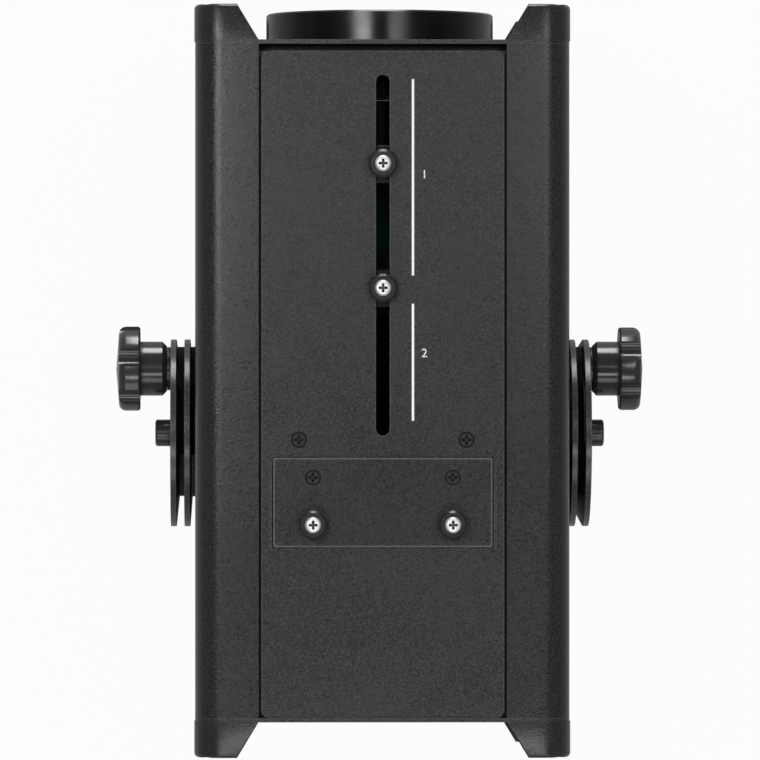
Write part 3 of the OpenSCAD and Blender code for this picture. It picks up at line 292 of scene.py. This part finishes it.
# Width of each node's bevels, in millimetres
EDGE_WIDTH = {
    "left_profile": 0.25, "right_profile": 0.25, "top_panel": 0.35, "bottom_panel": 0.22,
    "front_plate": 0.3, "rear_plate": 0.3, "front_caps": 0.22, "rear_caps": 0.22,
    "outer_yoke": 0.7, "inner_yoke": 0.7, "gobo_cover": 0.45, "zoom_tube": 0.25,
    "focus_carriage": 0.25, "data_in": 0.2, "data_out": 0.2, "power_inlet": 0.25,
    "fuse_drawer": 0.2, "fan_frame": 0.3, "gobo_holder": 0.2, "condenser_housing": 0.3,
    "left_clamp_knob": 0.35, "right_clamp_knob": 0.35,
    "panel_screws": 0.12, "cover_screws": 0.12, "connector_screws": 0.12, "pivot_screws": 0.25,
}


def soften(name, width):
    """Rounds the node's edges a little, so that they catch the light."""
    piece = nodes[name]
    mesh = piece.data
    if "custom_normal" in mesh.attributes:
        mesh.attributes.remove(mesh.attributes["custom_normal"])
    mesh.polygons.foreach_set("use_smooth", [True] * len(mesh.polygons))
    weld = piece.modifiers.new("weld", "WELD")
    weld.merge_threshold = 0.002 * MM
    flat = piece.modifiers.new("flat", "DECIMATE")
    flat.decimate_type = "DISSOLVE"
    flat.angle_limit = math.radians(0.4)
    bevel = piece.modifiers.new("edge", "BEVEL")
    bevel.width = width * MM
    bevel.segments = 2
    bevel.limit_method = "ANGLE"
    bevel.angle_limit = SMOOTH_ANGLE
    bevel.harden_normals = True


# Printed marks

# The top panel lies this much under the tops of the profiles
PANEL_INSET = 0.8 * MM
PANEL_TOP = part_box("left_profile")[1].z - PANEL_INSET
INK_T = 0.02 * MM
# Places and sizes of the lines and figures beside the slot, in millimetres
LINE_X = -10.8
LINE_W = 0.85
ZOOM_LINE = (-108.0, -37.7)
FOCUS_LINE = (-27.6, 14.3)
MARK_X = -13.8
ZOOM_MARK_Y = -72.5
FOCUS_MARK_Y = -8.5
MARK_SIZE = 4.4


def ink(name, colour, glow=0.0):
    tree = Tree(name)
    shades = tree.blend(tree.span(tree.noise(900), 0, 1), tuple(c * 0.93 for c in colour), colour)
    material = tree.surface(Base_Color=shades, Roughness=0.5)
    if glow:
        tree.surface(Emission_Color=(*colour, 1), Emission_Strength=glow)
    return material


def keep(piece, body, material):
    piece.data.materials.clear()
    piece.data.materials.append(material)
    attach(piece, body)
    return piece


def box_piece(name, low, high):
    """A box from low to high, in millimetres."""
    mesh = bpy.data.meshes.new(name)
    shape = bmesh.new()
    bmesh.ops.create_cube(shape, size=1.0)
    low, high = Vector(low) * MM, Vector(high) * MM
    size = high - low
    place = Matrix.Translation((low + high) / 2) @ Matrix.Diagonal((*size, 1))
    bmesh.ops.transform(shape, matrix=place, verts=shape.verts)
    shape.to_mesh(mesh)
    shape.free()
    piece = bpy.data.objects.new(name, mesh)
    bpy.context.scene.collection.objects.link(piece)
    return piece


def word_piece(name, body_text, size, place):
    """Flat figures, extruded by the ink's thickness; place is their 4 x 4 matrix."""
    curve = bpy.data.curves.new(name, "FONT")
    curve.body = body_text
    curve.size = size * MM
    curve.extrude = INK_T / 2
    curve.align_x = "LEFT"
    text = bpy.data.objects.new(name + "_curve", curve)
    bpy.context.scene.collection.objects.link(text)
    bpy.context.view_layer.update()
    mesh = bpy.data.meshes.new_from_object(text.evaluated_get(bpy.context.evaluated_depsgraph_get()))
    bpy.data.objects.remove(text)
    bpy.data.curves.remove(curve)
    mesh.transform(place)
    mesh.name = name
    piece = bpy.data.objects.new(name, mesh)
    bpy.context.scene.collection.objects.link(piece)
    return piece


def panel_marks():
    white = ink("white_ink", (0.9, 0.9, 0.9))
    top = PANEL_TOP / MM
    for name, (start, end) in (("zoom_line", ZOOM_LINE), ("focus_line", FOCUS_LINE)):
        low = (LINE_X - LINE_W / 2, start, top)
        high = (LINE_X + LINE_W / 2, end, top + INK_T / MM)
        keep(box_piece(name, low, high), "head", white)
    turn = Matrix.Rotation(math.pi, 4, "Z")
    for name, figure, y in (("zoom_mark", "1", ZOOM_MARK_Y), ("focus_mark", "2", FOCUS_MARK_Y)):
        place = Matrix.Translation((MARK_X * MM, y * MM, PANEL_TOP + INK_T / 2)) @ turn
        keep(word_piece(name, figure, MARK_SIZE, place), "head", white)


def display_figures():
    """Plain figures on the display behind."""
    low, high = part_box("display")
    glow = ink("display_ink", (0.35, 0.75, 0.95), 1.2)
    turn = Matrix.Rotation(math.pi, 4, "Z") @ Matrix.Rotation(math.pi / 2, 4, "X")
    start = Vector((12.5 * MM, high.y + INK_T / 2, low.z + 3.6 * MM))
    piece = word_piece("display_figures", "001", 9.5, Matrix.Translation(start) @ turn)
    keep(piece, "head", glow)


# Studio

CAMERA_PLACE = (0.050, 0.006, 3.000)
AIM = (0.0010, -0.0003, 0.2162)
# Width of the picture at the distance of AIM
SEEN_WIDTH = 0.2720
FLOOR_SIZE = 12.0
FLOOR_Z = -0.05 * MM
FLOOR_PAINT = (0.45, 0.45, 0.45, 1)
# Shares of white in the floor as the camera sees it and as reflections see it
WHITE_SHARE = 0.96
MIRRORED_SHARE = 0.03
# Even light from all round
SKY_LEVEL = 0.5
# What reflections see of the sky: the horizon's level up to the start, the ceiling's from the end
HORIZON_LEVEL = 0.18
CEILING_LEVEL = 0.1
CEILING_START = 0.05
CEILING_END = 0.7


def background_ray(tree):
    """1 for camera, glossy and transmission rays."""
    path = add(tree, "ShaderNodeLightPath").outputs
    seen = {0: path["Is Camera Ray"], 1: path["Is Glossy Ray"]}
    first = add(tree, "ShaderNodeMath", seen, operation="MAXIMUM")
    seen = {0: first.outputs[0], 1: path["Is Transmission Ray"]}
    return add(tree, "ShaderNodeMath", seen, operation="MAXIMUM").outputs[0]


def white_strength(tree):
    """1 to the camera; reflections see a dim white round the horizon and a darker ceiling."""
    up = add(tree, "ShaderNodeTexCoord").outputs["Generated"]
    height = add(tree, "ShaderNodeSeparateXYZ", {0: up}).outputs["Z"]
    fade = {"Value": height, "From Min": CEILING_START, "From Max": CEILING_END,
            "To Min": HORIZON_LEVEL, "To Max": CEILING_LEVEL}
    ceiling = add(tree, "ShaderNodeMapRange", fade).outputs[0]
    camera_ray = add(tree, "ShaderNodeLightPath").outputs["Is Camera Ray"]
    return add(tree, "ShaderNodeMath", {0: camera_ray, 1: ceiling}, operation="MAXIMUM").outputs[0]


def world():
    sky = bpy.data.worlds.new("studio")
    bpy.context.scene.world = sky
    sky.use_nodes = True
    tree = sky.node_tree
    dim = tree.nodes["Background"]
    dim.inputs["Color"].default_value = (1, 1, 1, 1)
    dim.inputs["Strength"].default_value = SKY_LEVEL
    settings = {"Color": (1, 1, 1, 1), "Strength": white_strength(tree)}
    white = add(tree, "ShaderNodeBackground", settings)
    choice = {0: background_ray(tree), 1: dim.outputs[0], 2: white.outputs[0]}
    mix = add(tree, "ShaderNodeMixShader", choice)
    tree.links.new(mix.outputs[0], tree.nodes["World Output"].inputs["Surface"])


def floor_material():
    """Matt grey to the lights, nearly white to the camera and faintly white in reflections."""
    material = bpy.data.materials.new("floor")
    material.use_nodes = True
    tree = material.node_tree
    paint = tree.nodes["Principled BSDF"]
    paint.inputs["Base Color"].default_value = FLOOR_PAINT
    paint.inputs["Roughness"].default_value = 0.9
    paint.inputs["Specular IOR Level"].default_value = 0.0
    white = add(tree, "ShaderNodeEmission")
    camera_ray = add(tree, "ShaderNodeLightPath").outputs["Is Camera Ray"]
    direct = {0: camera_ray, 1: WHITE_SHARE - MIRRORED_SHARE}
    seen = add(tree, "ShaderNodeMath", direct, operation="MULTIPLY")
    both = {0: background_ray(tree), 1: MIRRORED_SHARE, 2: seen.outputs[0]}
    share = add(tree, "ShaderNodeMath", both, operation="MULTIPLY_ADD")
    choice = {0: share.outputs[0], 1: paint.outputs[0], 2: white.outputs[0]}
    mix = add(tree, "ShaderNodeMixShader", choice)
    tree.links.new(mix.outputs[0], tree.nodes["Material Output"].inputs["Surface"])
    return material


def floor():
    mesh = bpy.data.meshes.new("floor")
    half = FLOOR_SIZE / 2
    corners = [(x, y, FLOOR_Z) for x, y in ((-half, -half), (half, -half), (half, half), (-half, half))]
    mesh.from_pydata(corners, [], [(0, 1, 2, 3)])
    mesh.materials.append(floor_material())
    piece = bpy.data.objects.new("floor", mesh)
    bpy.context.scene.collection.objects.link(piece)


def softbox(name, place, aim, width, length, power):
    """An area light at place that shines at aim; sizes in metres, power in watts."""
    lamp = bpy.data.lights.new(name, "AREA")
    lamp.shape = "RECTANGLE"
    lamp.size = width
    lamp.size_y = length
    lamp.energy = power
    piece = bpy.data.objects.new(name, lamp)
    piece.location = place
    piece.rotation_mode = "QUATERNION"
    piece.rotation_quaternion = (Vector(aim) - Vector(place)).to_track_quat("-Z", "Y")
    bpy.context.scene.collection.objects.link(piece)


def lights():
    middle = (0.0, 0.0, 0.15)
    softbox("left_box", (0.36, -0.2, 1.2), middle, 0.12, 0.40, 2.5)
    softbox("right_box", (-0.34, -0.22, 1.2), middle, 0.18, 0.40, 1.1)
    softbox("low_box", (0.0, -0.9, 0.24), middle, 0.34, 0.4, 5.5)
    softbox("rear_top_box", (0.0, 0.36, 0.95), (0.0, 0.1, 0.2), 0.5, 0.12, 1.2)
    softbox("rear_box", (0.0, 0.95, 0.95), (0.0, 0.1, 0.2), 0.8, 0.4, 2.2)


def camera():
    """Looks down from nearly straight above, with the lens hood at the picture's top."""
    data = bpy.data.cameras.new("camera")
    piece = bpy.data.objects.new("camera", data)
    bpy.context.scene.collection.objects.link(piece)
    place, aim = Vector(CAMERA_PLACE), Vector(AIM)
    forward = (aim - place).normalized()
    right = forward.cross(Vector((0, -1, 0))).normalized()
    up = right.cross(forward)
    piece.matrix_world = Matrix.Translation(place) @ Matrix((right, up, -forward)).transposed().to_4x4()
    distance = (aim - place).length
    data.sensor_width = 36.0
    data.lens = data.sensor_width / 2 / (SEEN_WIDTH / 2 / distance)
    data.clip_start = 0.01
    data.clip_end = 100.0
    bpy.context.scene.camera = piece


dress()
for node_name, edge_width in EDGE_WIDTH.items():
    soften(node_name, edge_width)
panel_marks()
display_figures()
world()
floor()
lights()
camera()
bpy.context.scene.view_settings.view_transform = "Standard"
bpy.context.view_layer.update()
